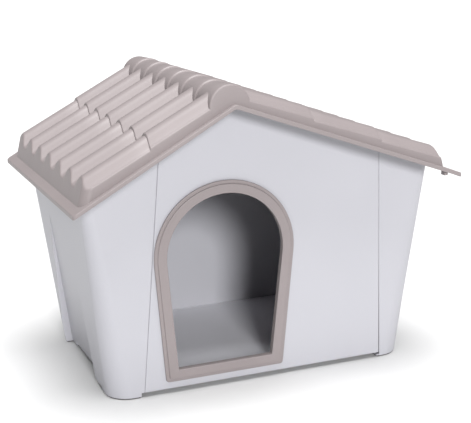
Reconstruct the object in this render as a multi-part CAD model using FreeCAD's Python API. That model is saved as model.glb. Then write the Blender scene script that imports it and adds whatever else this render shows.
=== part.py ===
import FreeCAD, Part
import os
from math import acos, atan, atan2, cos, degrees, hypot, radians, sin, tan
from FreeCAD import Vector as V

# Small plastic pet kennel: four leaning wall mouldings on a drop-in floor, an arched doorway
# with a clip-on frame, and a lift-off roof moulding whose two slopes differ.
# Front faces -Y, +Z is up, and the origin is on the ground under the middle of the roof.

# Roof plate
roof_width = 720.0
roof_depth = 514.0
eave_height = 361.0            # top of the plate at both eaves
apex_x = -78.5                 # the ridge is left of the middle
apex_height = 518.0
plate_thickness = 3.2          # measured straight down
lip_drop = 7.5                 # down-turned edge all round
lip_wall = 3.0
apex_rounding = 10.0
plate_corner = 6.0

# Tile block that stands on the plate
brim_left = 14.3
brim_right = 33.0
brim_front = 11.0
tile_wall = 3.0
tile_lap = 4.5                 # drop from one course to the next
end_draft = 14.6               # degrees, lean of the block's ends
rib_count = 7
rib_edge = 28.5                # from the outermost crests to the block's faces
rib_crest_radius = 20.0
rib_flank = 52.0               # degrees, slope of a rib's flanks
left_rib_height = 19.5
right_rib_height = 17.0
left_valley = 16.5             # valley above the plate, measured straight up
right_valley = 12.3
left_courses = [0.0, 139.5]    # where each course starts, measured from the ridge
right_courses = [0.0, 152.5, 284.5]

# Ridge barrel
ridge_radius = 36.5
ridge_taper = 2.6              # each ridge tile narrows towards the back
ridge_shift = -6.5             # barrel axis from the plate's apex
ridge_drop = 4.0

# Cabin walls
cabin_x = -0.3                 # cabin centre
side_overhang = 70.2           # roof edge beyond the panel bottoms
front_overhang = 79.2
side_lean = 0.1145             # outward per unit of height
front_lean = 0.046
wall = 3.5
panel_bottom = 9.0
corner_radius_base = 42.0
corner_radius_top = 12.0
loft_top = 560.0
left_column = 61.7             # from the cabin's side to the front panel's edge, at the base
right_column = 51.8
left_seam_lean = 0.079         # inward per unit of height
right_seam_lean = 0.040
seam_gap = 0.3
roof_seat_gap = 0.4
seat_lap = 1.0                 # the roof's seat pad is this much wider than the wall's top
guide_gap = 1.0                # between the wall and the roof's guide rib inside it
guide_wall = 2.5
guide_drop = 10.0

# Sunk panel in each side wall, deepest at the ground
recess_depth = 16.0
recess_below_eave = 76.0
recess_front = (80.0, 45.0)    # ahead of the middle, at the ground and at the top
recess_back = (150.0, 80.0)

# Feet
foot_pad_height = 2.0
foot_pad_inset = 2.0
foot_width = 56.0
foot_depth = 59.7
sole_thickness = 3.0

# Doorway and its frame
door_shift = 1.5               # doorway centre from the roof's apex
door_outer_radius = 130.7
door_outer_half_base = 112.0
door_spring = 250.0
door_outer_bottom = 22.7
door_band = 22.5
door_step = 6.0                # width of the low outer band
door_step_proud = 4.0
door_proud = 6.5
door_collar = 3.0
door_collar_reach = 1.5        # past the wall's inner face
door_gap = 0.4
door_corners = (6.0, 4.0, 3.0, 2.0)    # lower corners of band, face, collar and opening
door_screw_inset = 9.0
door_screw_angles = (30.0, 60.0, 90.0, 120.0, 150.0)
door_screw_shares = (0.17, 0.6)        # places along each leg

# Floor
floor_top = 27.0
floor_thickness = 3.0
floor_gap = 1.0
floor_rib_height = 10.0
floor_rib_wall = 2.0
floor_rib_spacing = 75.0
floor_rib_inset = 12.0
floor_boss_radius = 6.0
floor_boss_clearance = 2.0
floor_boss_x = 22.0            # from the foot's inner corner
floor_boss_y = 32.0
floor_screw_length = 14.0

# Joining flanges and screws
flange_reach = 16.0
flange_thickness = 3.0
flange_gap = 0.3
flange_root = 10.0             # past the seam, behind the column
flange_bottom = 45.0
flange_below_eave = 36.0
seam_screw_count = 3
low_screw_rise = 35.0          # above the flange's lower end
top_screw_drop = 25.0          # below its upper end
screw_radius = 1.75
screw_head_radius = 3.6
screw_head_height = 2.2
screw_recess = (4.8, 0.8, 1.0)         # cross recess length, width and depth
screw_clearance = 0.15
screw_seat_gap = 0.3
screw_end_gap = 0.5
screw_skin = 1.1               # left in front of a blind hole
frame_screw_bite = 4.0

# Roof turn clips
clip_y = 95.0
clip_below_eave = 50.0
clip_radius = 10.0
clip_length = 36.0
clip_arm_half = 7.0
clip_tip_round = 6.0
clip_thickness = 4.0
clip_gap = 0.5
pivot_radius = 3.0
pivot_running = 0.06
pivot_skin = 1.0               # wall left outside the pin's blind seat
pivot_seat_clearance = 0.15
pivot_end_gap = 0.2
pivot_head_radius = 6.0
pivot_head_height = 2.5
pivot_head_gap = 0.3
keeper_width = 20.0
keeper_start = 14.0            # from the pivot, along the wall
keeper_thickness = 3.0
keeper_gap = 1.5               # to the clip's inner face and to the wall
keeper_clearance = 2.0         # under the clip's arm when it is turned
keeper_foot_height = 5.0
keeper_tip_gap = 3.0           # above the released clip

# Rear vent
vent_width = 120.0
vent_height = 46.0
vent_below_apex = 133.0        # vent centre, measured down the wall
vent_corner = 12.0
vent_flange = 8.0
vent_plug = 2.0                # past the wall's inner face
vent_rim = 2.0
vent_thickness = 2.5
vent_slots = 5
vent_bar = 3.0

# Packing lugs under the right eave
lug_size = (7.0, 12.0, 12.0)
lug_inset_x = 28.0
lug_inset_y = 16.0

# Building aids
weld = 0.5                     # overlap that joins two shapes of one piece
spare = 30.0                   # how far a cutting shape runs past what it cuts
block_skirt = 80.0             # how far the tile block is built down before it is trimmed

rib_pitch = (roof_depth - 2 * brim_front - 2 * rib_edge) / (rib_count - 1)
ridge_x = apex_x + ridge_shift
ridge_height = apex_height - ridge_drop
cabin_half_width = roof_width / 2 - side_overhang
cabin_half_depth = roof_depth / 2 - front_overhang
foot_half_gap_x = cabin_half_width - foot_width
foot_half_gap_y = cabin_half_depth - foot_depth
door_x = apex_x + door_shift
flange_top = eave_height - flange_below_eave
clip_height = eave_height - clip_below_eave
recess_top = eave_height - recess_below_eave
vent_level = apex_height - vent_below_apex
lug_x = roof_width / 2 - lug_inset_x
lug_y = roof_depth / 2 - lug_inset_y
left_slope = (apex_height - eave_height) / (apex_x + roof_width / 2)
right_slope = (apex_height - eave_height) / (roof_width / 2 - apex_x)
block_half_depth = roof_depth / 2 - brim_front
seat_drop = plate_thickness + roof_seat_gap
reach = roof_depth             # longer than anything along Y
door_level = door_outer_bottom - panel_bottom


def plate_z(x):
    """Height of the roof plate's top surface."""
    if x < apex_x:
        return apex_height - (apex_x - x) * left_slope
    return apex_height - (x - apex_x) * right_slope


def prism_xz(points, y0, y1):
    wire = Part.makePolygon([V(x, y0, z) for x, z in points + points[:1]])
    return Part.Face(wire).extrude(V(0, y1 - y0, 0))


def box(x0, x1, y0, y1, z0, z1):
    return Part.makeBox(x1 - x0, y1 - y0, z1 - z0, V(x0, y0, z0))


def fuse(shapes):
    return shapes[0].multiFuse(shapes[1:]).removeSplitter()


def half_sizes(z, inset):
    rise = z - panel_bottom
    return (cabin_half_width + side_lean * rise - inset,
            cabin_half_depth + front_lean * rise - inset)


def cabin_block(inset, z0, z1):
    """The leaning cabin with sharp corners, inset from the outside."""
    low_x, low_y = half_sizes(z0, inset)
    high_x, high_y = half_sizes(z1, inset)
    sides = prism_xz([(cabin_x - low_x, z0), (cabin_x + low_x, z0),
                      (cabin_x + high_x, z1), (cabin_x - high_x, z1)], -reach, reach)
    ends = [V(-reach, -low_y, z0), V(-reach, low_y, z0), V(-reach, high_y, z1), V(-reach, -high_y, z1)]
    return sides.common(Part.Face(Part.makePolygon(ends + ends[:1])).extrude(V(2 * reach, 0, 0)))


def corner_radius(z, inset):
    blend = z / loft_top
    return max(corner_radius_base * (1 - blend) + corner_radius_top * blend - inset, 2.0)


def cabin_solid(inset, z0, z1):
    """The leaning cabin with corners that get sharper towards the top."""
    solid = cabin_block(inset, 0, loft_top)
    for edge in [e for e in solid.Edges if abs(e.tangentAt(e.FirstParameter).z) > 0.9]:
        middle = edge.CenterOfMass
        edge = min(solid.Edges, key=lambda e: (e.CenterOfMass - middle).Length)
        radii = [corner_radius(v.Z, inset) for v in (edge.Vertexes[0], edge.Vertexes[-1])]
        solid = solid.makeFillet(radii[0], radii[1], [edge])
    return solid.common(box(-roof_width, roof_width, -reach, reach, z0, z1))


def cabin_ring(inset, thickness, z0, z1):
    return cabin_solid(inset, z0, z1).cut(cabin_solid(inset + thickness, z0, z1))


def side_recess(side, margin):
    """Wedge that sinks a side wall's middle, grown inward by margin."""
    low, top = -spare, recess_top
    depth = recess_depth * (top - low) / (top - panel_bottom)
    at_low = half_sizes(low, depth + margin)[0]
    at_top = half_sizes(top, margin)[0]
    line = [(at_low, low), (at_top, top), (roof_width, top), (roof_width, low)]
    wedge = prism_xz([(cabin_x + side * x, z) for x, z in line], -reach, reach)
    outline = [(-recess_front[0] - margin, 0), (recess_back[0] + margin, 0),
               (recess_back[1] + margin, top), (-recess_front[1] - margin, top)]
    face = Part.Face(Part.makePolygon([V(-roof_width, y, z) for y, z in outline + outline[:1]]))
    return wedge.common(face.extrude(V(2 * roof_width, 0, 0)))


def under_roof(drop):
    """Everything below the roof plate's top surface, lowered by drop."""
    x0, x1 = -roof_width, roof_width
    top = [(x0, plate_z(x0) - drop), (apex_x, apex_height - drop), (x1, plate_z(x1) - drop)]
    return prism_xz([(x1, -1), (x0, -1)] + top, -reach, reach)


def over_roof(drop):
    x0, x1 = -roof_width, roof_width
    low = [(x0, plate_z(x0) - drop), (apex_x, apex_height - drop), (x1, plate_z(x1) - drop)]
    return prism_xz([(x1, 2 * apex_height), (x0, 2 * apex_height)] + low, -reach, reach)


def on_front_wall(shape):
    """Local y is depth behind the front wall's outer face, local z runs up the wall."""
    placed = shape.copy()
    placed.rotate(V(0, 0, 0), V(1, 0, 0), degrees(atan(front_lean)))
    placed.translate(V(0, -cabin_half_depth, panel_bottom))
    return placed


def on_right_wall(shape):
    """Local x is zero at the right wall's outer face, local z runs up the wall."""
    placed = shape.copy()
    placed.rotate(V(0, 0, 0), V(0, 1, 0), degrees(atan(side_lean)))
    placed.translate(V(cabin_x + cabin_half_width, 0, panel_bottom))
    return placed


def half_turn(shape):
    """The same piece on the opposite wall."""
    placed = shape.copy()
    placed.rotate(V(cabin_x, 0, 0), V(0, 0, 1), 180)
    return placed


# ---------------------------------------------------------------- roof

def roof_plate():
    half_x, half_y = roof_width / 2, roof_depth / 2

    def shell(inset, top_drop, bottom_drop):
        x0, x1 = -half_x + inset, half_x - inset
        line = [(x0, plate_z(x0)), (apex_x, apex_height), (x1, plate_z(x1))]
        top = [(x, z - top_drop) for x, z in line]
        bottom = [(x, z - bottom_drop) for x, z in reversed(line)]
        solid = prism_xz(top + bottom, -half_y + inset, half_y - inset)
        ridge = [e for e in solid.Edges if abs(e.CenterOfMass.x - apex_x) < 1 and e.Length > half_y]
        solid = solid.makeFillet(apex_rounding, ridge)
        upright = [e for e in solid.Edges if abs(e.tangentAt(e.FirstParameter).z) > 0.99
                   and abs(e.CenterOfMass.x) > half_x - inset - 1]
        return solid.makeFillet(plate_corner - inset, upright)

    return shell(0, 0, lip_drop).cut(shell(lip_wall, plate_thickness, lip_drop + spare))


def rib_face(x, valley_z, height, inset):
    """Cross-section of the ribs in the plane x, closed well below the plate."""
    half = block_half_depth - inset
    valley = valley_z - inset
    radius = rib_crest_radius - inset
    flank = radians(rib_flank)
    centre_z = valley_z + height - rib_crest_radius
    tangent_y = radius * sin(flank)
    tangent_z = centre_z + radius * cos(flank)
    base_y = tangent_y + (tangent_z - valley) / tan(flank)
    foot = valley - block_skirt
    edges = []
    last = V(x, -half, foot)

    def line_to(y, z):
        nonlocal last
        point = V(x, y, z)
        edges.append(Part.LineSegment(last, point).toShape())
        last = point

    line_to(-half, valley)
    for i in range(rib_count):
        crest_y = (i - (rib_count - 1) / 2) * rib_pitch
        line_to(crest_y - base_y, valley)
        line_to(crest_y - tangent_y, tangent_z)
        end = V(x, crest_y + tangent_y, tangent_z)
        edges.append(Part.Arc(last, V(x, crest_y, centre_z + radius), end).toShape())
        last = end
        line_to(crest_y + base_y, valley)
    line_to(half, valley)
    line_to(half, foot)
    line_to(-half, foot)
    return Part.Face(Part.Wire(edges))


def flat_face(x, valley_z, inset):
    half = block_half_depth - inset
    top, foot = valley_z - inset, valley_z - block_skirt
    corners = [(-half, foot), (-half, top), (half, top), (half, foot), (-half, foot)]
    return Part.Face(Part.makePolygon([V(x, y, z) for y, z in corners]))


def slope_tiles(side, starts, run_end, valley, height, inset):
    """One slope of overlapping courses. side is -1 for the left slope, 1 for the right."""
    pieces = []
    ends = starts[1:] + [run_end]
    for i, (start, end) in enumerate(zip(starts, ends)):
        start = start - inset if i else start
        end = end - inset
        xa, xb = ridge_x + side * start, ridge_x + side * end
        za = plate_z(xa) + valley
        zb = plate_z(xb) + valley + tile_lap
        run = V(xb - xa, 0, zb - za)
        pieces.append(flat_face(xa, za, inset).extrude(run))
        share = ridge_radius / 2 / (end - start) if i == 0 else 0
        face = rib_face(xa + share * run.x, za + share * run.z, height, inset)
        pieces.append(face.extrude(run * (1 - share)))
    return pieces


def ridge_barrel(inset):
    half = block_half_depth - inset
    length = 2 * half / rib_count
    pieces = []
    for i in range(rib_count):
        front = V(ridge_x, -half + i * length, ridge_height)
        big = ridge_radius - inset
        pieces.append(Part.makeCone(big, big - ridge_taper, length, front, V(0, 1, 0)))
    return pieces


def block_envelope(inset, drop):
    """Side view of the tile block: drafted ends and the plate below it."""
    lean = tan(radians(end_draft))
    x0 = -roof_width / 2 + brim_left + inset
    x1 = roof_width / 2 - brim_right - inset
    tall = 45.0                # above every tile at the block's ends
    top = 2 * apex_height
    points = [(x0, plate_z(x0) - drop), (x0 + lean * tall, plate_z(x0) + tall), (x0 + 2 * tall, top),
              (x1 - 2 * tall, top), (x1 - lean * tall, plate_z(x1) + tall), (x1, plate_z(x1) - drop),
              (apex_x, apex_height - drop)]
    return prism_xz(points, -reach, reach)


def tile_block(inset, drop):
    left_run = ridge_x + roof_width / 2 - brim_left + inset
    right_run = roof_width / 2 - brim_right - ridge_x + inset
    pieces = slope_tiles(-1, left_courses, left_run, left_valley, left_rib_height, inset)
    pieces += slope_tiles(1, right_courses, right_run, right_valley, right_rib_height, inset)
    pieces += ridge_barrel(inset)
    return pieces[0].multiFuse(pieces[1:]).common(block_envelope(inset, drop))


def keeper():
    """Hook on the roof that a turn clip swings over: a stem with a foot under the turned clip."""
    inside = -wall - clip_gap - clip_thickness - keeper_gap
    y0, y1 = keeper_start, keeper_start + keeper_width
    foot_top = clip_height - clip_arm_half - keeper_clearance
    foot_low = foot_top - keeper_foot_height
    head_low = clip_height + clip_length + keeper_tip_gap
    head_top = head_low + lip_drop + spare
    stem = box(inside - keeper_thickness, inside, y0, y1, foot_low, head_top)
    foot = box(inside, -wall - keeper_gap, y0, y1, foot_low, foot_top)
    head = box(inside, -wall - guide_gap, y0, y1, head_low, head_top)
    return fuse([stem, foot, head])


def roof():
    outer = tile_block(0, 0)
    hollow = tile_block(tile_wall, 2 * lip_drop)
    plate = roof_plate().fuse(outer).cut(hollow)
    seat = cabin_ring(-seat_lap, wall + 2 * seat_lap, eave_height / 2, loft_top).common(outer)
    seat = seat.common(over_roof(seat_drop - roof_seat_gap))
    below = over_roof(seat_drop + guide_drop).common(under_roof(0))
    room = outer.fuse(below)
    guide = cabin_ring(wall + guide_gap, guide_wall, eave_height / 2, loft_top).common(room)
    pieces = [plate, seat, guide]
    for y in (-clip_y, clip_y):
        hook = keeper()
        hook.translate(V(0, y, 0))
        hook = on_right_wall(hook)
        pieces += [h.common(under_roof(plate_thickness / 2)) for h in (hook, half_turn(hook))]
    dx, dy, dz = lug_size
    for y in (-lug_y, lug_y):
        top = plate_z(lug_x) - plate_thickness / 2
        pieces.append(box(lug_x - dx / 2, lug_x + dx / 2, y - dy / 2, y + dy / 2, top - dz, top))
    return fuse(pieces)


# ---------------------------------------------------------------- doorway

def door_leg(offset):
    """Lower and upper end of the right leg from the doorway's centre, and the arch's radius."""
    radius = door_outer_radius - offset
    half = door_outer_half_base - offset
    base = door_level + offset
    spring = door_spring - panel_bottom
    angle = atan2(base - spring, half) + acos(radius / hypot(half, spring - base))
    return (half, base), (radius * cos(angle), spring + radius * sin(angle)), radius


def door_outline(offset):
    """Arched outline, inset by offset: legs that lean out and meet the arch smoothly."""
    low, high, radius = door_leg(offset)
    low_right, right = V(door_x + low[0], 0, low[1]), V(door_x + high[0], 0, high[1])
    low_left, left = V(door_x - low[0], 0, low[1]), V(door_x - high[0], 0, high[1])
    top = V(door_x, 0, door_spring - panel_bottom + radius)
    edges = [Part.LineSegment(low_left, low_right).toShape(),
             Part.LineSegment(low_right, right).toShape(),
             Part.Arc(right, top, left).toShape(),
             Part.LineSegment(left, low_left).toShape()]
    return Part.Face(Part.Wire(edges))


def door_slab(offset, y0, y1, corner):
    face = door_outline(offset)
    face.translate(V(0, y0, 0))
    solid = face.extrude(V(0, y1 - y0, 0))
    base = door_level + offset
    upright = [e for e in solid.Edges if abs(e.CenterOfMass.z - base) < 0.01
               and abs(e.tangentAt(e.FirstParameter).y) > 0.99]
    return solid.makeFillet(corner, upright)


def door_frame_screw_points():
    """Spots on the frame band, in the wall's own plane."""
    low, high, radius = door_leg(door_screw_inset)
    spring = door_spring - panel_bottom
    points = [(door_x + radius * cos(radians(a)), spring + radius * sin(radians(a)))
              for a in door_screw_angles]
    for share in door_screw_shares:
        x = low[0] + share * (high[0] - low[0])
        z = low[1] + share * (high[1] - low[1])
        points += [(door_x - x, z), (door_x + x, z)]
    return points


def door_frame():
    band_corner, face_corner, collar_corner, opening_corner = door_corners
    band = door_slab(0, -door_step_proud, -door_gap / 2, band_corner)
    face = door_slab(door_step, -door_proud, -door_gap / 2, face_corner)
    inner_back = wall + door_collar_reach
    collar = door_slab(door_band - door_collar, -door_step_proud, inner_back, collar_corner)
    opening = door_slab(door_band, -reach, reach, opening_corner)
    frame = fuse([band, face, collar]).cut(opening)
    radius = screw_radius + screw_clearance
    for x, z in door_frame_screw_points():
        hole = Part.makeCylinder(radius, frame_screw_bite, V(x, -frame_screw_bite, z), V(0, 1, 0))
        frame = frame.cut(hole)
    return on_front_wall(frame)


# ---------------------------------------------------------------- walls

def wall_screw(x, z, head_y, bite):
    """Pan-head screw that points out of the cabin, its head seat at local y head_y."""
    head = Part.makeCylinder(screw_head_radius, screw_head_height, V(x, head_y, z), V(0, 1, 0))
    shank = Part.makeCylinder(screw_radius, bite, V(x, head_y - bite, z), V(0, 1, 0))
    length, width, depth = screw_recess
    top = head_y + screw_head_height
    slot = box(x - length / 2, x + length / 2, top - depth, top, z - width / 2, z + width / 2)
    cross = slot.copy()
    cross.rotate(V(x, 0, z), V(0, 1, 0), 90)
    return head.fuse(shank).removeSplitter().cut(slot).cut(cross)


def seam_x(side, z, shift):
    """Edge of the front panel at height z, moved outward by shift."""
    column, lean = (left_column, left_seam_lean) if side < 0 else (right_column, right_seam_lean)
    return cabin_x + side * (cabin_half_width - column - lean * (z - panel_bottom) + shift)


def panel_prism(shift, y0, y1, z0, z1):
    points = [(seam_x(s, z, shift), z) for s, z in ((-1, z0), (1, z0), (1, z1), (-1, z1))]
    return prism_xz(points, y0, y1)


def seam_screw_points():
    low, top = flange_bottom + low_screw_rise, flange_top - top_screw_drop
    step = (top - low) / (seam_screw_count - 1)
    heights = [low + i * step for i in range(seam_screw_count)]
    return [(seam_x(side, z + panel_bottom, -flange_reach / 2), z) for side in (-1, 1) for z in heights]


def gable_panel():
    shell = cabin_block(0, panel_bottom, loft_top).cut(cabin_block(wall, panel_bottom, loft_top))
    panel = shell.common(panel_prism(0, -reach, 0, panel_bottom, loft_top)).common(under_roof(seat_drop))
    radius = screw_radius + screw_clearance
    for x, z in seam_screw_points():
        blind = Part.makeCylinder(radius, 3 * wall, V(x, screw_skin, z), V(0, 1, 0))
        panel = panel.cut(on_front_wall(blind))
    return panel


def front_wall():
    doorway = door_slab(door_band - door_collar - door_gap, -spare, spare, door_corners[-1])
    panel = gable_panel().cut(on_front_wall(doorway))
    radius = screw_radius + screw_clearance
    for x, z in door_frame_screw_points():
        hole = Part.makeCylinder(radius, 4 * wall, V(x, -wall, z), V(0, 1, 0))
        panel = panel.cut(on_front_wall(hole))
    return panel


def mirror_gable(shape):
    return shape.mirror(V(0, 0, 0), V(0, 1, 0))


def vent_slab(inset, y0, y1):
    half_x, half_z = vent_width / 2 - inset, vent_height / 2 - inset
    slab = box(apex_x - half_x, apex_x + half_x, y0, y1, vent_level - half_z, vent_level + half_z)
    upright = [e for e in slab.Edges if abs(e.tangentAt(e.FirstParameter).y) > 0.99]
    return slab.makeFillet(vent_corner - inset / 2, upright)


def back_wall():
    opening = on_front_wall(vent_slab(vent_flange - door_gap, -spare, spare))
    return mirror_gable(gable_panel().cut(opening))


def rear_vent_grille():
    face = vent_slab(0, -vent_thickness - door_gap / 2, -door_gap / 2)
    plug = vent_slab(vent_flange, -door_gap, wall + vent_plug)
    grille = face.fuse(plug).removeSplitter()
    half = vent_width / 2 - vent_flange - vent_rim
    inner_height = vent_height - 2 * (vent_flange + vent_rim)
    pitch = (inner_height + vent_bar) / vent_slots
    for i in range(vent_slots):
        low = vent_level - inner_height / 2 + i * pitch
        top = low + pitch - vent_bar
        grille = grille.cut(box(apex_x - half, apex_x + half, -spare, spare, low, top))
    return mirror_gable(on_front_wall(grille))


def foot_gaps(extra):
    """Boxes that clear the lower edge of the walls between the feet."""
    half_x, half_y = foot_half_gap_x + extra, foot_half_gap_y + extra
    wide = box(cabin_x - half_x, cabin_x + half_x, -reach, reach, -1, panel_bottom)
    return wide.fuse(box(-reach, reach, -half_y, half_y, -1, panel_bottom))


def floor_screw_spots():
    x, y = foot_half_gap_x + floor_boss_x, foot_half_gap_y + floor_boss_y
    return [(cabin_x + sx * x, sy * y) for sx in (-1, 1) for sy in (-1, 1)]


def on_side_wall(shape, side):
    placed = on_right_wall(shape)
    return placed if side > 0 else half_turn(placed)


def side_wall(side):
    """Side panel with both corner columns, their feet and the joining flanges."""
    x0, x1 = sorted((cabin_x, side * roof_width))
    half_space = box(x0, x1, -reach, reach, -1, 2 * apex_height)
    outside = cabin_solid(0, foot_pad_height, loft_top).cut(side_recess(side, 0))
    inside = cabin_solid(wall, foot_pad_height, loft_top).cut(side_recess(side, wall))
    shell = outside.cut(inside).common(half_space).cut(foot_gaps(0))
    column = shell.cut(panel_prism(seam_gap, -reach, reach, -1, loft_top))

    z0, z1 = flange_bottom + panel_bottom, flange_top + panel_bottom
    zone = panel_prism(flange_root, -reach, reach, z0, z1)
    root = cabin_ring(wall - weld, flange_gap + flange_thickness + weld, z0, z1).common(zone)
    root = root.cut(panel_prism(seam_gap, -reach, reach, -1, loft_top))
    tongue = cabin_ring(wall + flange_gap, flange_thickness, z0, z1).common(zone)
    middle = panel_prism(-flange_reach, -reach, reach, z0, z1)
    flanges = root.fuse(tongue).cut(middle).common(half_space)

    sole = cabin_solid(weld, foot_pad_height, foot_pad_height + sole_thickness)
    sole = sole.common(half_space).cut(foot_gaps(0)).cut(side_recess(side, weld))
    pieces = [column, flanges, sole]
    spots = [(x, y) for x, y in floor_screw_spots() if side * (x - cabin_x) > 0]
    boss_low, boss_top = foot_pad_height + weld, floor_top - floor_thickness
    for x, y in spots:
        pieces.append(Part.makeCylinder(floor_boss_radius, boss_top - boss_low, V(x, y, boss_low)))
    body = fuse(pieces)

    radius = screw_radius + screw_clearance
    for x, y in spots:
        start = V(x, y, boss_top - floor_screw_length)
        body = body.cut(Part.makeCylinder(radius, floor_screw_length, start))
    for x, z in seam_screw_points():
        hole = on_front_wall(Part.makeCylinder(radius, spare, V(x, 0, z), V(0, 1, 0)))
        body = body.cut(hole).cut(mirror_gable(hole))
    for y in (-clip_y, clip_y):
        mouth = V(-pivot_skin, y, clip_height)
        seat = Part.makeCylinder(pivot_radius + pivot_seat_clearance, wall, mouth, V(-1, 0, 0))
        body = body.cut(on_side_wall(seat, side))
    return body.common(under_roof(seat_drop))


def seam_screws():
    """Screws through the joining flanges into the front and back panels."""
    head_y = wall + flange_gap + flange_thickness + screw_seat_gap
    bite = head_y - screw_skin - screw_end_gap
    screws = []
    for x, z in seam_screw_points():
        screw = on_front_wall(wall_screw(x, z, head_y, bite))
        screws += [screw, mirror_gable(screw)]
    return Part.makeCompound(screws)


def door_frame_screws():
    head_y = wall + screw_seat_gap
    bite = head_y + frame_screw_bite - screw_end_gap
    screws = [wall_screw(x, z, head_y, bite) for x, z in door_frame_screw_points()]
    return Part.makeCompound([on_front_wall(screw) for screw in screws])


# ---------------------------------------------------------------- floor and feet

def floor_panel():
    top = floor_top
    low = top - floor_thickness - floor_rib_height
    rib_top = top - floor_thickness / 2
    margin = wall + floor_gap
    plate = cabin_solid(margin, top - floor_thickness, top)
    for side in (-1, 1):
        plate = plate.cut(side_recess(side, margin))
    half_x, half_y = half_sizes(panel_bottom, margin + floor_rib_inset)
    half_x = half_x - recess_depth
    half_rib = floor_rib_wall / 2
    pieces = [plate]
    each_way = int(half_x // floor_rib_spacing)
    for i in range(-each_way, each_way + 1):
        x = cabin_x + i * floor_rib_spacing
        pieces.append(box(x - half_rib, x + half_rib, -half_y, half_y, low, rib_top))
    each_way = int(half_y // floor_rib_spacing)
    for i in range(-each_way, each_way + 1):
        y = i * floor_rib_spacing
        ends = (cabin_x - half_x, cabin_x + half_x)
        pieces.append(box(*ends, y - half_rib, y + half_rib, low, rib_top))
    panel = fuse(pieces)
    keep_clear = floor_boss_radius + floor_boss_clearance
    hole = screw_radius + screw_clearance
    for x, y in floor_screw_spots():
        panel = panel.cut(Part.makeCylinder(keep_clear, floor_rib_height, V(x, y, low)))
        panel = panel.cut(Part.makeCylinder(hole, spare, V(x, y, low)))
    return panel


def floor_screws():
    screws = []
    bite = screw_seat_gap + floor_thickness + floor_screw_length - screw_end_gap
    for x, y in floor_screw_spots():
        screw = wall_screw(0, 0, 0, bite)
        screw.rotate(V(0, 0, 0), V(1, 0, 0), 90)
        screw.translate(V(x, y, floor_top + screw_seat_gap))
        screws.append(screw)
    return Part.makeCompound(screws)


def foot_pad(sx, sy):
    pad = cabin_solid(foot_pad_inset, 0, foot_pad_height).cut(foot_gaps(foot_pad_inset))
    pad = pad.cut(side_recess(sx, foot_pad_inset))
    x0, x1 = sorted((cabin_x, sx * roof_width))
    y0, y1 = sorted((0, sy * roof_width))
    return pad.common(box(x0, x1, y0, y1, -1, panel_bottom))


# ---------------------------------------------------------------- roof turn clips

def roof_clip(side, y):
    """Released it points up the wall. Turned a quarter it lies over the roof's hook."""
    x0 = -wall - clip_gap
    disc = Part.makeCylinder(clip_radius, clip_thickness, V(x0, y, clip_height), V(-1, 0, 0))
    half = clip_arm_half
    arm = box(x0 - clip_thickness, x0, y - half, y + half, clip_height, clip_height + clip_length)
    tip = [e for e in arm.Edges if abs(e.tangentAt(e.FirstParameter).x) > 0.99
           and e.CenterOfMass.z > clip_height + clip_radius]
    arm = arm.makeFillet(clip_tip_round, tip)
    bore = Part.makeCylinder(pivot_radius + pivot_running, spare, V(0, y, clip_height), V(-1, 0, 0))
    return on_side_wall(disc.fuse(arm).removeSplitter().cut(bore), side)


def clip_pivots():
    """Headed pins that the clips turn on, seated in the side walls."""
    pins = []
    head_x = -wall - clip_gap - clip_thickness - pivot_head_gap
    seat_x = -pivot_skin - pivot_end_gap
    for side in (1, -1):
        for y in (-clip_y, clip_y):
            start, top = V(seat_x, y, clip_height), V(head_x, y, clip_height)
            pin = Part.makeCylinder(pivot_radius, seat_x - head_x, start, V(-1, 0, 0))
            head = Part.makeCylinder(pivot_head_radius, pivot_head_height, top, V(-1, 0, 0))
            pins.append(on_side_wall(pin.fuse(head).removeSplitter(), side))
    return Part.makeCompound(pins)


# ---------------------------------------------------------------- write the pieces

pieces = {
    "roof": roof(),
    "front_wall": front_wall(),
    "back_wall": back_wall(),
    "left_wall": side_wall(-1),
    "right_wall": side_wall(1),
    "floor_panel": floor_panel(),
    "door_frame": door_frame(),
    "rear_vent_grille": rear_vent_grille(),
    "seam_screws": seam_screws(),
    "door_frame_screws": door_frame_screws(),
    "floor_screws": floor_screws(),
    "clip_pivots": clip_pivots(),
}
for side_name, sx in (("left", -1), ("right", 1)):
    for end_name, sy in (("front", -1), ("back", 1)):
        pieces[f"{end_name}_{side_name}_foot_pad"] = foot_pad(sx, sy)
        pieces[f"{end_name}_{side_name}_roof_clip"] = roof_clip(sx, sx * sy * clip_y)

os.makedirs("parts", exist_ok=True)
for name, shape in pieces.items():
    shape.exportStep(f"parts/{name}.step")
    print(name, len(shape.Solids), shape.isValid(), round(shape.Volume / 1000, 1))
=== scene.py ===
import bmesh
import bpy
from math import atan, cos, pi, radians, sin, sqrt, tan
from mathutils import Matrix, Vector


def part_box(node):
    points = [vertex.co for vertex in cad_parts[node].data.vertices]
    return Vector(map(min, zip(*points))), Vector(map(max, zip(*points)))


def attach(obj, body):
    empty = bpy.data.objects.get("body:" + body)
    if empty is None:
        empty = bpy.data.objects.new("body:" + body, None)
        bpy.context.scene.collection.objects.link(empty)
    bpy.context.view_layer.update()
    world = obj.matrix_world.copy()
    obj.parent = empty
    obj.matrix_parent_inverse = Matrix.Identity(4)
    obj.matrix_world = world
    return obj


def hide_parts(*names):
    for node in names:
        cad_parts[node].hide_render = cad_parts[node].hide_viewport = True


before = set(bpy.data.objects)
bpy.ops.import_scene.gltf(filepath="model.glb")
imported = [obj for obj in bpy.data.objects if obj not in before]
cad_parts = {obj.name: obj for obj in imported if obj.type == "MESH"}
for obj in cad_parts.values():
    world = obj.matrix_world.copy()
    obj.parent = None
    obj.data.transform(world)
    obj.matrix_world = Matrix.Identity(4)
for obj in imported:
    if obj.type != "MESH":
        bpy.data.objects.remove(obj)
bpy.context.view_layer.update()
scene = bpy.context.scene
meshTolerance = {"weld": 0.00002, "cut": 0.00001, "flat": radians(0.6)}
print("frame loaded:", len(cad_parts), "nodes")


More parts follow.
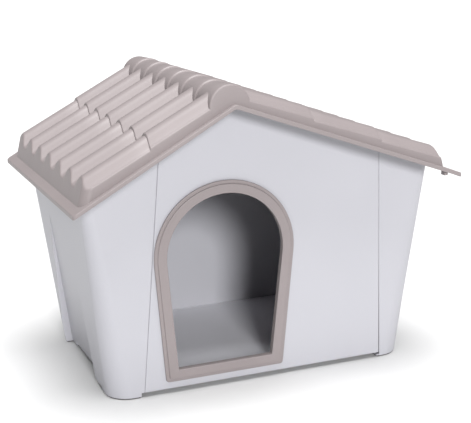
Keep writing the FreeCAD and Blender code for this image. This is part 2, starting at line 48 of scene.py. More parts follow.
# small helpers for shader maths and node trees

class Term:
    # wraps a value socket so that shader maths reads as plain expressions
    def __init__(self, tree, socket):
        self.tree = tree
        self.socket = socket

    def maths(self, operation, other, swapped=False):
        values = (other, self) if swapped else (self, other)
        return self.tree.add("ShaderNodeMath", {"operation": operation}, {0: values[0], 1: values[1]})

    def __add__(self, other):
        return self.maths("ADD", other)

    def __radd__(self, other):
        return self.maths("ADD", other, True)

    def __sub__(self, other):
        return self.maths("SUBTRACT", other)

    def __rsub__(self, other):
        return self.maths("SUBTRACT", other, True)

    def __mul__(self, other):
        return self.maths("MULTIPLY", other)

    def __rmul__(self, other):
        return self.maths("MULTIPLY", other, True)


class Tree:
    # adds nodes by type, with settings first and then the inputs
    def __init__(self, tree):
        self.tree = tree

    def add(self, kind, settings=None, inputs=None, output=0):
        node = self.tree.nodes.new(kind)
        for key, value in (settings or {}).items():
            setattr(node, key, value)
        for key, value in (inputs or {}).items():
            self.plug(node.inputs[key], value)
        return Term(self, node.outputs[output]) if node.outputs else node

    def plug(self, socket, value):
        if isinstance(value, Term):
            self.tree.links.new(value.socket, socket)
        else:
            socket.default_value = value


# materials

def mouldedPlastic(name, look):
    # satin injection-moulded plastic: fine grain, slow tone drift and a little waviness
    material = bpy.data.materials.new(name)
    material.use_nodes = True
    material.node_tree.nodes.clear()
    tree = Tree(material.node_tree)
    place = tree.add("ShaderNodeTexCoord", output="Object")

    def noise(scale, detail, **more):
        inputs = {"Vector": place, "Scale": scale, "Detail": detail, **more}
        return tree.add("ShaderNodeTexNoise", inputs=inputs)

    drift = noise(look["driftScale"], 3.0)
    grain = noise(1400.0, 2.0)
    speck = noise(260.0, 4.0, Roughness=0.7)
    wave = noise(9.0, 1.0)
    tone = tree.add("ShaderNodeMapRange",
                    inputs={"Value": drift * 0.8 + speck * 0.2, "From Min": 0.35, "From Max": 0.65})
    colour = tree.add("ShaderNodeMix", {"data_type": "RGBA"},
                      {"Factor": tone, "A": look["dark"], "B": look["light"]}, output=2)
    height = grain * look["grain"] + speck * look["speck"] + wave * look["wave"]
    bump = tree.add("ShaderNodeBump", inputs={"Height": height, "Strength": 1.0, "Distance": 0.001})
    rough = speck * 0.10 + drift * 0.08 + (look["roughness"] - 0.09)
    shader = tree.add("ShaderNodeBsdfPrincipled", inputs={
        "Base Color": colour, "Roughness": rough, "Normal": bump, "IOR": 1.49, "Specular IOR Level": 0.4})
    tree.add("ShaderNodeOutputMaterial", inputs={"Surface": shader})
    return material


def softRubber(name):
    material = bpy.data.materials.new(name)
    material.use_nodes = True
    material.node_tree.nodes.clear()
    tree = Tree(material.node_tree)
    place = tree.add("ShaderNodeTexCoord", output="Object")
    dust = tree.add("ShaderNodeTexNoise", inputs={"Vector": place, "Scale": 120.0, "Detail": 5.0})
    colour = tree.add("ShaderNodeMix", {"data_type": "RGBA"},
                      {"Factor": dust, "A": (0.035, 0.032, 0.031, 1), "B": (0.09, 0.082, 0.078, 1)},
                      output=2)
    bump = tree.add("ShaderNodeBump", inputs={"Height": dust * 0.2, "Strength": 1.0, "Distance": 0.001})
    shader = tree.add("ShaderNodeBsdfPrincipled",
                      inputs={"Base Color": colour, "Roughness": dust * 0.15 + 0.7, "Normal": bump})
    tree.add("ShaderNodeOutputMaterial", inputs={"Surface": shader})
    return material


def zincSteel(name):
    material = bpy.data.materials.new(name)
    material.use_nodes = True
    material.node_tree.nodes.clear()
    tree = Tree(material.node_tree)
    place = tree.add("ShaderNodeTexCoord", output="Object")
    patch = tree.add("ShaderNodeTexVoronoi", inputs={"Vector": place, "Scale": 900.0})
    cloud = tree.add("ShaderNodeTexNoise", inputs={"Vector": place, "Scale": 300.0, "Detail": 3.0})
    colour = tree.add("ShaderNodeMix", {"data_type": "RGBA"},
                      {"Factor": cloud, "A": (0.42, 0.43, 0.45, 1), "B": (0.66, 0.66, 0.64, 1)}, output=2)
    shader = tree.add("ShaderNodeBsdfPrincipled", inputs={
        "Base Color": colour, "Roughness": patch * 0.2 + cloud * 0.15 + 0.22, "Metallic": 1.0})
    tree.add("ShaderNodeOutputMaterial", inputs={"Surface": shader})
    return material


wallPlastic = mouldedPlastic("paleGreyPlastic", {
    "light": (0.440, 0.438, 0.470, 1), "dark": (0.418, 0.416, 0.448, 1),
    "driftScale": 3.0, "roughness": 0.42, "grain": 0.018, "speck": 0.03, "wave": 0.10})
floorPlastic = mouldedPlastic("floorGreyPlastic", {
    "light": (0.74, 0.74, 0.78, 1), "dark": (0.70, 0.70, 0.74, 1), "driftScale": 4.0, "roughness": 0.48,
    "grain": 0.03, "speck": 0.05, "wave": 0.08})
roofPlastic = mouldedPlastic("doveTaupePlastic", {
    "light": (0.262, 0.229, 0.230, 1), "dark": (0.240, 0.209, 0.210, 1),
    "driftScale": 4.0, "roughness": 0.44, "grain": 0.025, "speck": 0.04, "wave": 0.06})
padRubber = softRubber("footRubber")
screwSteel = zincSteel("zincScrewSteel")
print("materials made")


# mesh helpers

def pieceFromMesh(name, mesh, material):
    piece = bpy.data.objects.new(name, mesh)
    scene.collection.objects.link(piece)
    mesh.materials.clear()
    mesh.materials.append(material)
    return piece


def applyModifiers(piece):
    graph = bpy.context.evaluated_depsgraph_get()
    baked = bpy.data.meshes.new_from_object(piece.evaluated_get(graph))
    piece.modifiers.clear()
    piece.data = baked
    return piece


def smoothByAngle(piece, degrees):
    piece.data.shade_smooth()
    piece.data.set_sharp_from_angle(angle=radians(degrees))


def roundEdges(piece, width, segments=3, angle=32):
    bevel = piece.modifiers.new("roundedEdges", "BEVEL")
    bevel.width = width
    bevel.segments = segments
    bevel.limit_method = "ANGLE"
    bevel.angle_limit = radians(angle)
    bevel.use_clamp_overlap = False
    piece.data.shade_smooth()
    weights = piece.modifiers.new("flatFaces", "WEIGHTED_NORMAL")
    weights.mode = "FACE_AREA"
    weights.weight = 80
    weights.keep_sharp = True
    applyModifiers(piece)


def islandsOf(node):
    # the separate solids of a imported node, each as a list of its corner points
    work = bmesh.new()
    work.from_mesh(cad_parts[node].data)
    bmesh.ops.remove_doubles(work, verts=work.verts, dist=meshTolerance["weld"])
    islands, seen = [], set()
    for vert in work.verts:
        if vert in seen:
            continue
        seen.add(vert)
        island, front = [], [vert]
        while front:
            corner = front.pop()
            island.append(corner.co.copy())
            for edge in corner.link_edges:
                other = edge.other_vert(corner)
                if other not in seen:
                    seen.add(other)
                    front.append(other)
        islands.append(island)
    work.free()
    return islands


def axisOf(island):
    # ends of a turned piece: its narrow tip first, then the middle of its head
    pair = max(((p, q) for p in island[::3] for q in island[::3]), key=lambda pq: (pq[0] - pq[1]).length)
    middle = sum(island, Vector()) / len(island)
    along = (pair[0] - pair[1]).normalized()
    for _ in range(8):
        spread = Vector()
        for point in island:
            spread += (point - middle) * (point - middle).dot(along)
        along = spread.normalized()
    reach = [(point - middle).dot(along) for point in island]
    width = [((point - middle) - along * d).length for point, d in zip(island, reach)]
    if reach[width.index(max(width))] < 0:
        along, reach = -along, [-d for d in reach]
    return middle + along * min(reach), middle + along * max(reach)


screwKinds = {
    "seam_screws": ("seamScrews", "cabin", 0.00175),
    "door_frame_screws": ("doorFrameScrews", "cabin", 0.00175),
    "floor_screws": ("floorScrews", "cabin", 0.00175), "clip_pivots": ("clipPivotPins", "cabin", 0.003)}
holeMargins = {"beyond": 0.004, "around": 0.0004}
screwAxes = {node: [axisOf(island) for island in islandsOf(node)] for node in screwKinds}


def plugHoles(work):
    # close the screw holes of a copied wall: they lie behind screw heads, flanges or the floor
    beyond, around = holeMargins["beyond"], holeMargins["around"]
    inHole = []
    for node, axes in screwAxes.items():
        near = screwKinds[node][2] + around
        for tip, head in axes:
            along = (head - tip).normalized()
            span = (head - tip).length + beyond

            def inside(point):
                offset = point - tip
                depth = offset.dot(along)
                return -beyond < depth < span and (offset - along * depth).length < near

            inHole += [face for face in work.faces if all(inside(v.co) for v in face.verts)]
    bmesh.ops.delete(work, geom=list(set(inHole)), context="FACES")
    bmesh.ops.holes_fill(work, edges=[edge for edge in work.edges if edge.is_boundary], sides=0)


def cleanCopy(node, name, material, width=0.0, segments=3, smooth=32, splitAt=None):
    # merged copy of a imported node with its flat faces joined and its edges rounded
    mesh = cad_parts[node].data.copy()
    work = bmesh.new()
    work.from_mesh(mesh)
    bmesh.ops.remove_doubles(work, verts=work.verts, dist=meshTolerance["weld"])
    plugHoles(work)
    if splitAt is not None:
        everything = list(work.verts) + list(work.edges) + list(work.faces)
        cut = bmesh.ops.bisect_plane(work, geom=everything, dist=meshTolerance["cut"],
                                     plane_co=(splitAt, 0, 0), plane_no=(1, 0, 0))
        for item in cut["geom_cut"]:
            if isinstance(item, bmesh.types.BMEdge):
                item.seam = True
    bmesh.ops.dissolve_limit(work, angle_limit=meshTolerance["flat"], verts=work.verts, edges=work.edges,
                             delimit={"SEAM"})
    work.to_mesh(mesh)
    work.free()
    piece = pieceFromMesh(name, mesh, material)
    smoothByAngle(piece, smooth)
    if width:
        roundEdges(piece, width, segments)
    return piece


def gridMesh(name, rows):
    # rows of equal length joined into quads
    work = bmesh.new()
    grid = [[work.verts.new(point) for point in row] for row in rows]
    for lower, upper in zip(grid, grid[1:]):
        for i in range(len(lower) - 1):
            work.faces.new((lower[i], lower[i + 1], upper[i + 1], upper[i]))
    mesh = bpy.data.meshes.new(name)
    work.to_mesh(mesh)
    work.free()
    return mesh


def settle(piece):
    # merge doubles, drop slivers and turn the faces outwards
    work = bmesh.new()
    work.from_mesh(piece.data)
    bmesh.ops.remove_doubles(work, verts=work.verts, dist=meshTolerance["weld"])
    bmesh.ops.dissolve_degenerate(work, edges=work.edges, dist=meshTolerance["weld"])
    bmesh.ops.recalc_face_normals(work, faces=work.faces)
    work.to_mesh(piece.data)
    work.free()


def thicken(piece, thickness):
    wall = piece.modifiers.new("wall", "SOLIDIFY")
    wall.thickness = thickness
    wall.offset = -1.0
    wall.use_even_offset = False
    wall.use_rim = True
    applyModifiers(piece)


# roof

roofSizes = {
    "width": 0.720, "depth": 0.514, "eave": 0.361, "apexX": -0.0785, "apexZ": 0.518,
    "plate": 0.0032, "lip": 0.0075, "lipWall": 0.003, "corner": 0.006, "apexRound": 0.010,
    "brimLeft": 0.0143, "brimRight": 0.033, "brimFront": 0.011, "shell": 0.003, "draft": 14.6,
    "ribs": 7, "pitch": 0.0725, "crest": 0.020, "flank": 52.0, "valleyBlend": 0.0032,
    "ridgeX": -0.085, "ridgeZ": 0.514, "ridgeRadius": 0.0365, "ridgeTaper": 0.0026, "ridgeRim": 0.003,
    "edgeRound": 0.0018, "stepLeast": 0.0016, "endLeast": 0.003, "stepRun": 0.0004, "sink": 0.001,
    "endProbe": 0.03, "plateLap": 0.006, "barrelPast": 0.0002, "bandBlend": 0.005, "plateEdge": 0.001,
    "underGap": 0.0002, "lipClear": 0.008, "nearCorner": 0.0001}
slopes = {
    "left": {"side": -1, "valley": 0.0165, "rib": 0.0195, "lap": 0.0045, "starts": (0.0, 0.1395),
             "endRound": 0.004, "stepRound": 0.0016, "cornerRound": 0.018},
    "right": {"side": 1, "valley": 0.0123, "rib": 0.0170, "lap": 0.0045, "starts": (0.0, 0.1525, 0.2845),
              "endRound": 0.0065, "stepRound": 0.005, "cornerRound": 0.002}}
size = roofSizes
leftSlope = (size["apexZ"] - size["eave"]) / (size["apexX"] + size["width"] / 2)
rightSlope = (size["apexZ"] - size["eave"]) / (size["width"] / 2 - size["apexX"])
blockHalf = size["depth"] / 2 - size["brimFront"]


def plateZ(x):
    if x < size["apexX"]:
        return size["apexZ"] - (size["apexX"] - x) * leftSlope
    return size["apexZ"] - (x - size["apexX"]) * rightSlope


def ribLift(distance, height):
    # rib height above the valley at a distance from its crest line
    flank = radians(size["flank"])
    tangent = size["crest"] * sin(flank)
    if distance < tangent:
        lift = height - size["crest"] + sqrt(size["crest"] ** 2 - distance ** 2)
    else:
        lift = height - size["crest"] * (1 - cos(flank)) - (distance - tangent) * tan(flank)
    blend = size["valleyBlend"]
    return (lift + sqrt(lift * lift + blend * blend)) / 2 - (blend * blend / (4 * height))


def softCorner(before, corner, after, reach, steps):
    # points of a rounded corner between two straight runs
    back, ahead = before - corner, after - corner
    start = corner + back.normalized() * min(reach, back.length * 0.9)
    end = corner + ahead.normalized() * min(reach, ahead.length * 0.9)
    points = []
    for i in range(steps + 1):
        t = i / steps
        points.append(start * (1 - t) ** 2 + corner * 2 * t * (1 - t) + end * t * t)
    return points


def slopeLine(slope, lift, retreat):
    # side view of one slope from the ridge to the plate, as (x, z) points
    side = slope["side"]
    foot = (size["brimLeft"] - size["width"] / 2) if side < 0 else (size["width"] / 2 - size["brimRight"])
    foot -= side * retreat
    lean = tan(radians(size["draft"]))
    starts = [size["ridgeX"] + side * start for start in slope["starts"]]
    ribStart = size["ridgeX"] + side * size["ridgeRadius"] / 2    # hidden inside the ridge barrel
    crestShare = min(1.0, lift / slope["rib"])

    def between(least, most):
        # corner reach, which grows from the valley to the crest
        return size[least] + (slope[most] - size[least]) * crestShare

    def level(course, x):
        last = course == len(starts) - 1
        end = foot if last else starts[course + 1]
        share = (x - starts[course]) / (end - starts[course])
        return plateZ(x) + slope["valley"] + slope["lap"] * share

    points = [Vector((ribStart, level(0, ribStart) + lift))]
    last = len(starts) - 1
    for course in range(len(starts)):
        begin = points[-1]
        if course < last:
            end = starts[course + 1]
            top = Vector((end, level(course, end) + lift))
            low = Vector((end, level(course + 1, end) + lift))
            corner = softCorner(begin, top, low, between("stepLeast", "stepRound"), 5)
            points += stretch(begin, corner[0], 4) + corner
            points.append(low)
            points.append(low + Vector((side * size["stepRun"], 0)))
        else:
            height = level(course, foot - side * lean * size["endProbe"]) - plateZ(foot) + lift
            top = Vector((foot - side * lean * height, 0))
            top.y = level(course, top.x) + lift
            base = Vector((foot, plateZ(foot) - size["sink"]))
            corner = softCorner(begin, top, base, between("endLeast", "endRound"), 7)
            points += stretch(begin, corner[0], 4) + corner
            points += stretch(corner[-1], base, 3) + [base]
    return points


def stretch(start, end, count):
    return [start.lerp(end, i / count) for i in range(1, count)]


def slopeRow(slope, y, lift, retreat=0.0, share=1.0):
    # one row of the tile surface across the slope; share lowers it towards the plate
    row = []
    for point in slopeLine(slope, lift, retreat):
        floorLevel = plateZ(point.x) - size["sink"]
        row.append((point.x, y, floorLevel + (point.y - floorLevel) * share))
    return row


def valleyStrip(slope):
    # surface from one rib crest to the next, centred on the valley
    half = size["pitch"] / 2
    rows = []
    steps = 30
    for i in range(steps + 1):
        y = -half + 2 * half * i / steps
        rows.append(slopeRow(slope, y, ribLift(half - abs(y), slope["rib"])))
    return gridMesh("valleyStrip", rows)


def gableEnd(slope, front):
    # from the outermost crest over the last flank and down the block's face
    crestY = (size["ribs"] - 1) / 2 * size["pitch"]
    turn = slope["cornerRound"]
    ys = [crestY + (blockHalf - crestY) * i / 16 for i in range(16)]
    ys += [blockHalf - turn + turn * sin(radians(a)) for a in range(6, 84, 8)]
    edge = size["edgeRound"]
    ys = sorted(y for y in ys if y < blockHalf - edge)
    rows = []
    for y in ys + [blockHalf - edge]:
        into = max(0.0, y - (blockHalf - turn))
        retreat = turn - sqrt(turn * turn - into * into)
        rows.append(slopeRow(slope, front * y, ribLift(y - crestY, slope["rib"]), retreat))
    deep = slope["valley"]
    for a in (22.5, 45, 67.5, 90):
        y = blockHalf - edge + edge * sin(radians(a))
        into = min(turn, max(0.0, y - (blockHalf - turn)))
        retreat = turn - sqrt(max(0.0, turn * turn - into * into))
        share = 1 - edge * (1 - cos(radians(a))) / deep
        rows.append(slopeRow(slope, front * y, 0.0, retreat, share))
    for share in (0.66, 0.33, 0.0):
        rows.append(slopeRow(slope, front * blockHalf, 0.0, turn, share))
    return gridMesh("gableEnd", rows)


# geometry nodes tree that repeats a module in a straight row
def rowTree():
    tree = bpy.data.node_groups.new("repeatInRow", "GeometryNodeTree")
    face = tree.interface
    face.new_socket("Geometry", in_out="INPUT", socket_type="NodeSocketGeometry")
    face.new_socket("Count", in_out="INPUT", socket_type="NodeSocketInt")
    face.new_socket("Start", in_out="INPUT", socket_type="NodeSocketVector")
    face.new_socket("Step", in_out="INPUT", socket_type="NodeSocketVector")
    face.new_socket("Weld", in_out="INPUT", socket_type="NodeSocketFloat")
    face.new_socket("Material", in_out="INPUT", socket_type="NodeSocketMaterial")
    face.new_socket("Geometry", in_out="OUTPUT", socket_type="NodeSocketGeometry")
    build = Tree(tree)
    given = tree.nodes.new("NodeGroupInput")

    def taken(name):
        return Term(build, given.outputs[name])

    line = build.add("GeometryNodeMeshLine", {"mode": "OFFSET"},
                     {"Count": taken("Count"), "Start Location": taken("Start"), "Offset": taken("Step")})
    copies = build.add("GeometryNodeInstanceOnPoints",
                       inputs={"Points": line, "Instance": taken("Geometry")})
    solid = build.add("GeometryNodeRealizeInstances", inputs={"Geometry": copies})
    welded = build.add("GeometryNodeMergeByDistance", inputs={"Geometry": solid, "Distance": taken("Weld")})
    dressed = build.add("GeometryNodeSetMaterial",
                        inputs={"Geometry": welded, "Material": taken("Material")})
    build.add("NodeGroupOutput", inputs={"Geometry": dressed})
    return tree


# geometry nodes tree that sets a module on every point, turned along the point's own direction
def scatterTree():
    tree = bpy.data.node_groups.new("setOnPoints", "GeometryNodeTree")
    face = tree.interface
    face.new_socket("Geometry", in_out="INPUT", socket_type="NodeSocketGeometry")
    face.new_socket("Module", in_out="INPUT", socket_type="NodeSocketObject")
    face.new_socket("Material", in_out="INPUT", socket_type="NodeSocketMaterial")
    face.new_socket("Geometry", in_out="OUTPUT", socket_type="NodeSocketGeometry")
    build = Tree(tree)
    given = tree.nodes.new("NodeGroupInput")

    def taken(name):
        return Term(build, given.outputs[name])

    outward = build.add("GeometryNodeInputNamedAttribute", {"data_type": "FLOAT_VECTOR"},
                        {"Name": "outward"})
    turn = build.add("FunctionNodeAlignRotationToVector", {"axis": "Z"}, {"Vector": outward})
    module = build.add("GeometryNodeObjectInfo", inputs={"Object": taken("Module")}, output="Geometry")
    copies = build.add("GeometryNodeInstanceOnPoints",
                       inputs={"Points": taken("Geometry"), "Instance": module, "Rotation": turn})
    solid = build.add("GeometryNodeRealizeInstances", inputs={"Geometry": copies})
    dressed = build.add("GeometryNodeSetMaterial",
                        inputs={"Geometry": solid, "Material": taken("Material")})
    build.add("NodeGroupOutput", inputs={"Geometry": dressed})
    return tree


def runTree(piece, tree, values):
    modifier = piece.modifiers.new(tree.name, "NODES")
    modifier.node_group = tree
    for item in tree.interface.items_tree:
        if item.in_out == "INPUT" and item.name in values:
            modifier[item.identifier] = values[item.name]
    return applyModifiers(piece)


repeatInRow = rowTree()
setOnPoints = scatterTree()


def joinPieces(name, parts, material):
    work = bmesh.new()
    for part in parts:
        work.from_mesh(part.data)
        bpy.data.objects.remove(part)
    mesh = bpy.data.meshes.new(name)
    work.to_mesh(mesh)
    work.free()
    return pieceFromMesh(name, mesh, material)


def buildTiles(slopeName):
    slope = slopes[slopeName]
    strip = pieceFromMesh("strip", valleyStrip(slope), roofPlastic)
    gaps = size["ribs"] - 1
    runTree(strip, repeatInRow, {
        "Count": gaps, "Start": (0, -(gaps - 1) / 2 * size["pitch"], 0), "Step": (0, size["pitch"], 0),
        "Weld": 0.00001, "Material": roofPlastic})
    ends = [pieceFromMesh("end", gableEnd(slope, front), roofPlastic) for front in (-1, 1)]
    tiles = joinPieces(slopeName + "RoofTiles", [strip] + ends, roofPlastic)
    settle(tiles)
    pointUp(tiles)
    thicken(tiles, size["shell"])
    smoothByAngle(tiles, 40)
    return tiles


def pointUp(piece):
    # an open sheet: flip it if most of it faces down
    lean = sum(face.normal.z * face.area for face in piece.data.polygons)
    if lean < 0:
        piece.data.flip_normals()


def buildRidge():
    # barrel-shaped ridge tiles, each a little wider at its front end, with soft lips
    half = blockHalf + size["barrelPast"]
    length = 2 * half / size["ribs"]
    radius, taper, rim = size["ridgeRadius"], size["ridgeTaper"], size["ridgeRim"]
    profile = [(0.0, -half), (radius * 0.5, -half)]
    for a in (0, 22.5, 45, 67.5, 90):
        profile.append((radius - rim * (1 - sin(radians(a))), -half + rim * (1 - cos(radians(a)))))
    for i in range(size["ribs"]):
        front = -half + i * length
        if i:
            for t in (0.0, 0.2, 0.4, 0.6, 0.8, 1.0):
                profile.append((radius - taper * (1 + cos(pi * t)) / 2, front + size["bandBlend"] * t))
        profile.append((radius - taper * 0.5, front + length * 0.5))
        profile.append((radius - taper, front + length * 0.98))
    back = radius - taper
    for a in (22.5, 45, 67.5, 90):
        profile.append((back - rim * (1 - cos(radians(a))), half - rim * (1 - sin(radians(a)))))
    profile += [(radius * 0.5, half), (0.0, half)]
    rows = []
    turns = 72
    for i in range(turns + 1):
        a = radians(-8 + 218 * i / turns)
        rows.append([(size["ridgeX"] + r * cos(a), y, size["ridgeZ"] + r * sin(a)) for r, y in profile])
    ridge = pieceFromMesh("ridgeBarrel", gridMesh("ridgeBarrel", rows), roofPlastic)
    settle(ridge)
    pointUp(ridge)
    thicken(ridge, size["shell"])
    smoothByAngle(ridge, 35)
    return ridge


def buildPlate():
    # flat border round the tiles with its turned-down edge
    reach = size["apexRound"] * tan((atan(leftSlope) + atan(rightSlope)) / 2)
    apex = Vector((size["apexX"], size["apexZ"]))
    left = Vector((-size["width"] / 2, size["eave"]))
    right = Vector((size["width"] / 2, size["eave"]))
    holeLeft = size["brimLeft"] - size["width"] / 2 + size["plateLap"]
    holeRight = size["width"] / 2 - size["brimRight"] - size["plateLap"]
    line = [left, Vector((holeLeft, plateZ(holeLeft)))]
    line += softCorner(left, apex, right, reach, 6)
    line += [Vector((holeRight, plateZ(holeRight))), right]
    halfY = size["depth"] / 2
    holeY = blockHalf - size["plateLap"]
    ys = [-halfY, -holeY, holeY, halfY]
    work = bmesh.new()
    grid = [[work.verts.new((p.x, y, p.y)) for p in line] for y in ys]
    for j in range(3):
        for i in range(len(line) - 1):
            inside = j == 1 and 0 < i < len(line) - 2
            if not inside:
                work.faces.new((grid[j][i], grid[j][i + 1], grid[j + 1][i + 1], grid[j + 1][i]))
    outline = grid[0] + [row[-1] for row in grid[1:3]] + grid[3][::-1] + [row[0] for row in grid[2:0:-1]]
    low = [work.verts.new((v.co.x, v.co.y, v.co.z - size["lip"])) for v in outline]
    for i in range(len(outline)):
        j = (i + 1) % len(outline)
        work.faces.new((outline[j], outline[i], low[i], low[j]))
    mesh = bpy.data.meshes.new("roofPlate")
    work.to_mesh(mesh)
    work.free()
    plate = pieceFromMesh("roofPlate", mesh, roofPlastic)
    settle(plate)
    pointUp(plate)
    roundCorners(plate, size["corner"])
    thicken(plate, size["lipWall"])
    roundEdges(plate, size["plateEdge"], 3, 40)
    return plate


def roundCorners(piece, radius):
    # the four upright corners of the lip
    work = bmesh.new()
    work.from_mesh(piece.data)
    upright = [e for e in work.edges
               if abs((e.verts[0].co - e.verts[1].co).normalized().z) > 0.99
               and abs(abs(e.verts[0].co.x) - size["width"] / 2) < size["nearCorner"]
               and abs(abs(e.verts[0].co.y) - size["depth"] / 2) < size["nearCorner"]]
    bmesh.ops.bevel(work, geom=upright, offset=radius, segments=6, profile=0.5, affect="EDGES")
    work.to_mesh(piece.data)
    work.free()


def buildUnderside():
    # hooks, guide ribs and stop lugs below the plate: everything under both slopes, without the lip
    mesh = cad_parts["roof"].data.copy()
    work = bmesh.new()
    work.from_mesh(mesh)
    bmesh.ops.remove_doubles(work, verts=work.verts, dist=meshTolerance["weld"])
    for slope in (leftSlope, -rightSlope):
        up = Vector((-slope, 0, 1)).normalized()
        apex = Vector((size["apexX"], 0, size["apexZ"] - size["plate"] - size["underGap"]))
        everything = list(work.verts) + list(work.edges) + list(work.faces)
        bmesh.ops.bisect_plane(work, geom=everything, dist=meshTolerance["cut"], plane_co=apex, plane_no=up,
                               clear_outer=True)
    edgeX, edgeY = (size[span] / 2 - size["lipClear"] for span in ("width", "depth"))
    lip = [v for v in work.verts if abs(v.co.x) > edgeX or abs(v.co.y) > edgeY]
    bmesh.ops.delete(work, geom=lip, context="VERTS")
    bmesh.ops.holes_fill(work, edges=[edge for edge in work.edges if edge.is_boundary], sides=0)
    bmesh.ops.dissolve_limit(work, angle_limit=meshTolerance["flat"], verts=work.verts, edges=work.edges)
    work.to_mesh(mesh)
    work.free()
    piece = pieceFromMesh("roofUnderside", mesh, roofPlastic)
    smoothByAngle(piece, 32)
    roundEdges(piece, 0.0005, 2)
    return piece


leftTiles = buildTiles("left")
rightTiles = buildTiles("right")
ridgeBarrel = buildRidge()
roofPlate = buildPlate()
roofPieces = [leftTiles, rightTiles, ridgeBarrel, roofPlate, buildUnderside()]
for piece in roofPieces:
    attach(piece, "roof")
    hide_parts("roof")
print("roof made")


# walls, frame, floor and small parts

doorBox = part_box("door_frame")
doorwayX = (doorBox[0][0] + doorBox[1][0]) / 2
wallLook = {
    "front_wall": ("frontWall", wallPlastic, 0.0013, "wall_plastic"),
    "back_wall": ("backWall", wallPlastic, 0.0013, "wall_plastic"),
    "left_wall": ("leftWall", wallPlastic, 0.0013, "wall_plastic"),
    "right_wall": ("rightWall", wallPlastic, 0.0013, "wall_plastic"),
    "floor_panel": ("floorPanel", floorPlastic, 0.0006, "floor_plastic"),
    "door_frame": ("doorFrame", roofPlastic, 0.0010, "roof_plastic"),
    "rear_vent_grille": ("rearVentGrille", roofPlastic, 0.0005, "roof_plastic")}
for side in ("left", "right"):
    for end in ("front", "back"):
        corner = end + side.title()
        wallLook[f"{end}_{side}_foot_pad"] = (corner + "FootPad", padRubber, 0.0004, "foot_rubber")
        wallLook[f"{end}_{side}_roof_clip"] = (corner + "RoofClip", roofPlastic, 0.0006, "roof_plastic")
for node, (name, material, width, slotName) in wallLook.items():
    splitAt = doorwayX if node in ("front_wall", "back_wall") else None
    piece = cleanCopy(node, name, material, width, splitAt=splitAt)
    body = node if node.endswith("clip") else "cabin"
    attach(piece, body)
    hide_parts(node)

screwSizes = {
    "domeRise": 0.0007, "headHeight": 0.0022, "headRadius": 0.0036, "recess": 0.0024, "recessWidth": 0.0004,
    "recessDepth": 0.001, "pinHeadHeight": 0.0025, "pinHeadRadius": 0.006}


def turnedMesh(name, profile, turns=28):
    rows = [[(r * cos(2 * pi * i / turns), r * sin(2 * pi * i / turns), z) for r, z in profile]
            for i in range(turns + 1)]
    piece = pieceFromMesh(name, gridMesh(name, rows), screwSteel)
    settle(piece)
    return piece


def roundHead(radius, height, dome, shank, length):
    # profile of a pan head over its shank, the top of the head at zero
    profile = [(0.0, -length), (shank * 0.7, -length), (shank, -length + shank * 0.5)]
    profile += [(shank, -height), (radius, -height)]
    low = -dome * 1.6
    profile += [(radius, low)]
    for a in (20, 40, 60, 75, 90):
        profile.append((radius * cos(radians(a)) ** 0.55 if a < 90 else 0.0, low - low * sin(radians(a))))
    return profile


def cutCross(piece, sizes):
    # cross recess pressed into the head
    for turn in (0, pi / 2):
        work = bmesh.new()
        bmesh.ops.create_cube(work, size=1.0)
        shape = Matrix.Rotation(turn, 4, "Z") @ Matrix.Diagonal(
            (sizes["recess"] * 2, sizes["recessWidth"] * 2, sizes["recessDepth"] * 2, 1))
        bmesh.ops.transform(work, matrix=shape, verts=work.verts)
        mesh = bpy.data.meshes.new("recess")
        work.to_mesh(mesh)
        work.free()
        cutter = pieceFromMesh("recess", mesh, screwSteel)
        trim = piece.modifiers.new("recess", "BOOLEAN")
        trim.operation = "DIFFERENCE"
        trim.solver = "EXACT"
        trim.object = cutter
        applyModifiers(piece)
        bpy.data.objects.remove(cutter)


def scatterScrews(node):
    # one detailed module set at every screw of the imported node
    name, body, shank = screwKinds[node]
    axes = screwAxes[node]
    length = (axes[0][1] - axes[0][0]).length
    pin = node == "clip_pivots"
    radius = screwSizes["pinHeadRadius" if pin else "headRadius"]
    height = screwSizes["pinHeadHeight" if pin else "headHeight"]
    module = turnedMesh("screwModule", roundHead(radius, height, screwSizes["domeRise"], shank, length))
    if not pin:
        cutCross(module, screwSizes)
    mesh = bpy.data.meshes.new(name)
    mesh.from_pydata([head for tip, head in axes], [], [])
    outward = mesh.attributes.new("outward", "FLOAT_VECTOR", "POINT")
    for i, (tip, head) in enumerate(axes):
        outward.data[i].vector = (head - tip).normalized()
    piece = pieceFromMesh(name, mesh, screwSteel)
    runTree(piece, setOnPoints, {"Module": module, "Material": screwSteel})
    bpy.data.objects.remove(module)
    smoothByAngle(piece, 35)
    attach(piece, body)
    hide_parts(node)


for node in screwKinds:
    scatterScrews(node)
print("walls and fittings made")


# stage, light and camera

stageLook = {"half": 40.0, "tone": (0.66, 0.66, 0.66, 1), "roughness": 0.9, "gloss": 0.1}


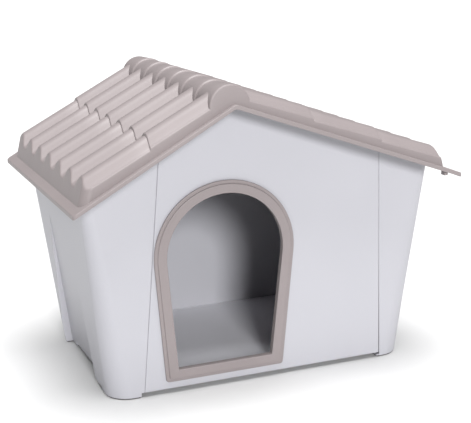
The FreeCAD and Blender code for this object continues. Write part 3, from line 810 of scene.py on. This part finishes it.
def buildStage():
    mesh = bpy.data.meshes.new("studioFloor")
    half = stageLook["half"]
    corners = [(-half, -half, 0), (half, -half, 0), (half, half, 0), (-half, half, 0)]
    mesh.from_pydata(corners, [], [(0, 1, 2, 3)])
    material = bpy.data.materials.new("studioPaper")
    material.use_nodes = True
    shader = material.node_tree.nodes["Principled BSDF"]
    shader.inputs["Base Color"].default_value = stageLook["tone"]
    shader.inputs["Roughness"].default_value = stageLook["roughness"]
    shader.inputs["Specular IOR Level"].default_value = stageLook["gloss"]
    floor = pieceFromMesh("studioFloor", mesh, material)


studioLights = {
    "overhead": {"azimuth": 20, "elevation": 86, "strength": 4.8, "spread": 44},
    "frontFill": {"azimuth": -9, "elevation": 18, "strength": 2.75, "spread": 14}}
worldStrength = 0.14


def buildLights():
    # azimuth is measured from the front, positive to the right
    world = bpy.data.worlds.new("studio")
    world.use_nodes = True
    world.node_tree.nodes["Background"].inputs["Color"].default_value = (0.97, 0.98, 1.0, 1)
    world.node_tree.nodes["Background"].inputs["Strength"].default_value = worldStrength
    scene.world = world
    for name, light in studioLights.items():
        data = bpy.data.lights.new(name, "SUN")
        data.energy = light["strength"]
        data.angle = radians(light["spread"])
        lamp = bpy.data.objects.new(name, data)
        azimuth, elevation = radians(light["azimuth"]), radians(light["elevation"])
        place = Vector((sin(azimuth) * cos(elevation), -cos(azimuth) * cos(elevation), sin(elevation)))
        lamp.location = place * 3
        lamp.rotation_euler = (-place).to_track_quat("-Z", "Y").to_euler()
        scene.collection.objects.link(lamp)


def buildCamera():
    view = {"place": (-0.7839, -1.9770, 0.8074), "azimuth": 22.156, "elevation": 14.158, "roll": -0.999,
            "lens": 87.81}
    azimuth, elevation, roll = (radians(view[k]) for k in ("azimuth", "elevation", "roll"))
    forward = Vector((sin(azimuth) * cos(elevation), cos(azimuth) * cos(elevation), -sin(elevation)))
    level = Vector((cos(azimuth), -sin(azimuth), 0))
    above = level.cross(forward)
    right = level * cos(roll) + above * sin(roll)
    up = above * cos(roll) - level * sin(roll)
    data = bpy.data.cameras.new("camera")
    data.lens = view["lens"]
    data.sensor_width = 36.0
    camera = bpy.data.objects.new("camera", data)
    turn = Matrix((right, up, -forward)).transposed().to_4x4()
    camera.matrix_world = Matrix.Translation(view["place"]) @ turn
    scene.collection.objects.link(camera)
    scene.camera = camera


buildStage()
buildLights()
buildCamera()
scene.view_settings.view_transform = "Standard"
print("stage, lights and camera made")
